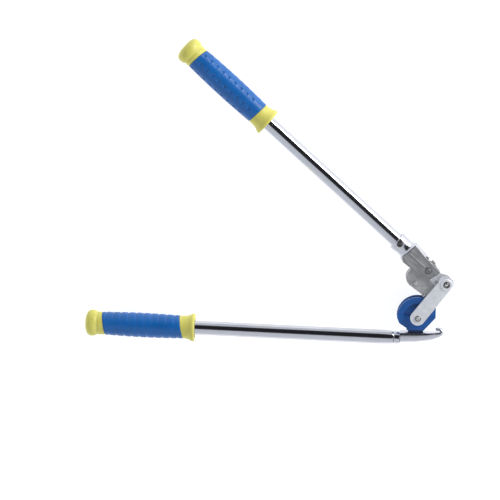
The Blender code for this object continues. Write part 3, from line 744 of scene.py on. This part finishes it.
def make_cheek_rib(name, sign):
    """Low cast rib along the middle of a cheek."""
    bm = bmesh.new()
    rings = []
    for u, half, rise in ((-32.0, 0.5, 0.1), (-31.2, 0.9, 0.4), (-29.5, 1.0, 0.6),
                          (-20.0, 1.0, 0.6), (-8.0, 1.0, 0.6), (-6.4, 0.9, 0.4),
                          (-5.6, 0.5, 0.1)):
        section = [(-1.35, -0.3), (-1.3, 0.0), (-0.85, 0.72), (-0.45, 0.97), (0.0, 1.0),
                   (0.45, 0.97), (0.85, 0.72), (1.3, 0.0), (1.35, -0.3)]
        rings.append([bm.verts.new(place(on_handle([(u, n * half)])[0],
                                         sign * (CHEEK_FACE + (rise * h if h > 0.0 else h))))
                      for n, h in section])
    bridge(bm, rings)
    new_piece(name, bm, "rib", "handle", [])


make_cheek_rib("near_cheek_rib", 1.0)
make_cheek_rib("far_cheek_rib", -1.0)
copied("stop_bar", "stop_bar_piece", "rough_cast", "handle", 0.3, 2)

# ---- former wheel ----
copied("former_wheel", "former_wheel_moulding", "former_blue", "base", 0.45, 3, 24.0)

# ---- fasteners ----
copied("former_seat", "former_seat_pad", "seat_blue", "base", 0.2, 2, 34.0)
FASTENERS = {"former_bush": "base", "former_screw_rear": "base", "former_screw_front": "base",
             "former_axle_clip": "yoke", "former_washer_near": "yoke",
             "former_washer_far": "yoke", "shoe_pin_clip": "yoke", "shoe_stop_pin": "yoke",
             "shoe_spacer": "shoe", "shoe_pin_bush": "shoe", "handle_pivot_bush": "shoe",
             "roller_pin": "shoe", "pressure_roller": "roller", "set_screw": "handle",
             "stop_screw": "handle", "stop_nut": "handle"}
FINISH = {"set_screw": "dark_steel_and_shade", "stop_screw": "satin_zinc", "stop_nut": "satin_zinc"}
for node, body in FASTENERS.items():
    copied(node, node + "_finished", FINISH.get(node, "zinc"), body, 0.2, 2, 34.0)


def pin_centre(node):
    """Plan position of a CAD pin's axis."""
    low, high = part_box(node)
    return ((low.x + high.x - 2.0 * WHEEL.x) / 2.0 / MM,
            (low.y + high.y - 2.0 * WHEEL.y) / 2.0 / MM)


def make_pin(node, body, mat, head, far_end):
    """A pin with a softly turned head. head and far_end are lists of (height, radius)."""
    profile = softened(far_end + head, False, 0.3)
    turned(node + "_turned", profile, axis_up(pin_centre(node)), mat, body, [node],
           48)


def make_shade_ring(name, node, body, inner, outer, z):
    """A dark ring lying in the groove of a pin's head: painted shade."""
    loop = softened([(z - 0.3, inner), (z - 0.3, outer), (z, outer), (z, inner)], True, 0.1, 2)
    turned(name, loop, axis_up(pin_centre(node)), "dark_steel_and_shade", body, [], 48,
           True)


# far end of the two pins that a clip holds, with the clip's groove
CLIP_END = [(-16.2, 0.0), (-16.2, 2.5), (-15.7, 3.0), (-14.9, 3.0), (-14.9, 2.2), (-13.9, 2.2),
            (-13.9, 3.0)]
make_pin("former_axle", "yoke", "satin_zinc",
         [(12.9, 3.0), (12.9, 4.0), (13.5, 4.0), (13.8, 3.6), (13.8, 2.5), (14.2, 2.3),
          (14.5, 1.4), (14.6, 0.0)], CLIP_END)
# painted shade: a dark ring in the groove of the axle's head
make_shade_ring("former_axle_shade_ring", "former_axle", "yoke", 2.6, 3.5, 13.95)
# The shoe pin is darkened steel; the dark of its dished head round the polished centre is also
# painted shade in the dish.
make_pin("shoe_pin", "yoke", "dark_steel_and_shade",
         [(12.7, 3.0), (12.7, 3.8), (13.6, 3.8), (14.0, 3.3), (14.0, 3.0), (13.0, 2.2),
          (13.0, 0.0)], CLIP_END)
# painted shade: a dark ring round the shoe rivet's head
make_shade_ring("shoe_rivet_shade_ring", "shoe_rivet", "shoe", 2.6, 3.05, 8.95)
make_pin("shoe_rivet", "shoe", "satin_zinc",
         [(8.6, 2.4), (8.6, 3.1), (9.1, 2.6), (9.35, 1.4), (9.4, 0.0)],
         [(-9.4, 0.0), (-9.35, 1.4), (-9.1, 2.6), (-8.6, 3.1), (-8.6, 2.4)])
make_pin("handle_rivet", "handle", "rivet",
         [(12.4, 3.0), (12.4, 3.4), (12.9, 3.3), (13.2, 2.7), (13.4, 1.5), (13.45, 0.0)],
         [(-13.8, 0.0), (-13.8, 2.4), (-12.4, 4.1), (-12.4, 3.0)])
# painted shade: a dark ring round the foot of the handle rivet's head
make_shade_ring("handle_rivet_shade_ring", "handle_rivet", "handle", 3.45, 4.1, 12.65)
turned("shoe_pin_centre", [(12.95, 0.0), (12.95, 1.9), (13.3, 1.8), (13.75, 1.2), (13.95, 0.0)],
       axis_up(SHOE_PIN), "polished", "yoke", [], 40)


# ---- floor, light and camera ----
KEY_PLACE = (1.5, 1.0, 0.72)
KEY_SIZE = (1.6, 0.5)
KEY_NORMAL = (-1.5, -1.0, -0.72)
KEY_POWER = 30.0
CAMERA_LENS = 113.4
CAMERA_TARGET = (-210.9, 73.97)
CAMERA_BACK = (0.0526, 0.2095, 0.9764)
CAMERA_UP = (-0.0340, 0.9994, 0.0)
CAMERA_DISTANCE = 1.95
FLOOR_HALF = 6.0
FLOOR_DROP = 0.0002
DARK_DIRECTION = (0.14, 0.42, 0.90)


def make_softbox(name, centre, size, normal, strength):
    """A rectangular soft light that faces along normal."""
    data = bpy.data.lights.new(name, "AREA")
    data.shape = "RECTANGLE"
    data.size, data.size_y = size
    data.energy = strength
    obj = bpy.data.objects.new(name, data)
    obj.location = centre
    obj.rotation_mode = "QUATERNION"
    obj.rotation_quaternion = (-Vector(normal)).to_track_quat("Z", "Y")
    bpy.context.scene.collection.objects.link(obj)


def make_floor_piece():
    """A plain pale floor just under the tool."""
    bm = bmesh.new()
    half = FLOOR_HALF
    corners = [(-half, -half), (half, -half), (half, half), (-half, half)]
    bm.faces.new([bm.verts.new((x, y, FLOOR_Z - FLOOR_DROP)) for x, y in corners])
    mesh = bpy.data.meshes.new("studio_floor")
    bm.to_mesh(mesh)
    bm.free()
    mesh.materials.append(make_floor())
    obj = bpy.data.objects.new("studio_floor", mesh)
    bpy.context.scene.collection.objects.link(obj)


def make_world():
    """A pale studio room with a dark patch overhead, which chrome shows as a dark band."""
    world = bpy.data.worlds.new("studio_room")
    bpy.context.scene.world = world
    world.use_nodes = True
    tree = world.node_tree
    tree.nodes.clear()
    out = tree.nodes.new("ShaderNodeOutputWorld")
    shade = tree.nodes.new("ShaderNodeBackground")
    coord = tree.nodes.new("ShaderNodeTexCoord")
    dot = tree.nodes.new("ShaderNodeVectorMath")
    dot.operation = "DOT_PRODUCT"
    dot.inputs[1].default_value = Vector(DARK_DIRECTION).normalized()
    ramp = tree.nodes.new("ShaderNodeValToRGB")
    ramp.color_ramp.interpolation = "EASE"
    stops = [(0.0, (0.80, 0.82, 0.86)), (0.45, (0.74, 0.76, 0.80)), (0.76, (0.70, 0.72, 0.77)),
             (0.86, (0.03, 0.03, 0.033)), (1.0, (0.02, 0.02, 0.022))]
    ramp.color_ramp.elements[0].color = (*stops[0][1], 1.0)
    ramp.color_ramp.elements[1].color = (*stops[-1][1], 1.0)
    for position, colour in stops[1:-1]:
        ramp.color_ramp.elements.new(position).color = (*colour, 1.0)
    tree.links.new(coord.outputs["Generated"], dot.inputs[0])
    tree.links.new(dot.outputs["Value"], ramp.inputs["Fac"])
    tree.links.new(ramp.outputs["Color"], shade.inputs["Color"])
    tree.links.new(shade.outputs["Background"], out.inputs["Surface"])
    shade.inputs["Strength"].default_value = 1.0


def make_camera():
    """The camera, looking down at the lying tool."""
    data = bpy.data.cameras.new("camera")
    data.sensor_width = 36.0
    data.lens = CAMERA_LENS
    data.clip_start, data.clip_end = 0.05, 50.0
    obj = bpy.data.objects.new("camera", data)
    target = place(CAMERA_TARGET)
    back = Vector(CAMERA_BACK).normalized()
    up = Vector(CAMERA_UP)
    up = (up - back * up.dot(back)).normalized()
    right = up.cross(back)
    turn = Matrix((right, up, back)).transposed().to_4x4()
    obj.matrix_world = Matrix.Translation(target + back * CAMERA_DISTANCE) @ turn
    bpy.context.scene.collection.objects.link(obj)
    bpy.context.scene.camera = obj


make_floor_piece()
make_world()
make_softbox("key_softbox", KEY_PLACE, KEY_SIZE, KEY_NORMAL, KEY_POWER)
make_camera()
bpy.context.scene.view_settings.view_transform = "Standard"
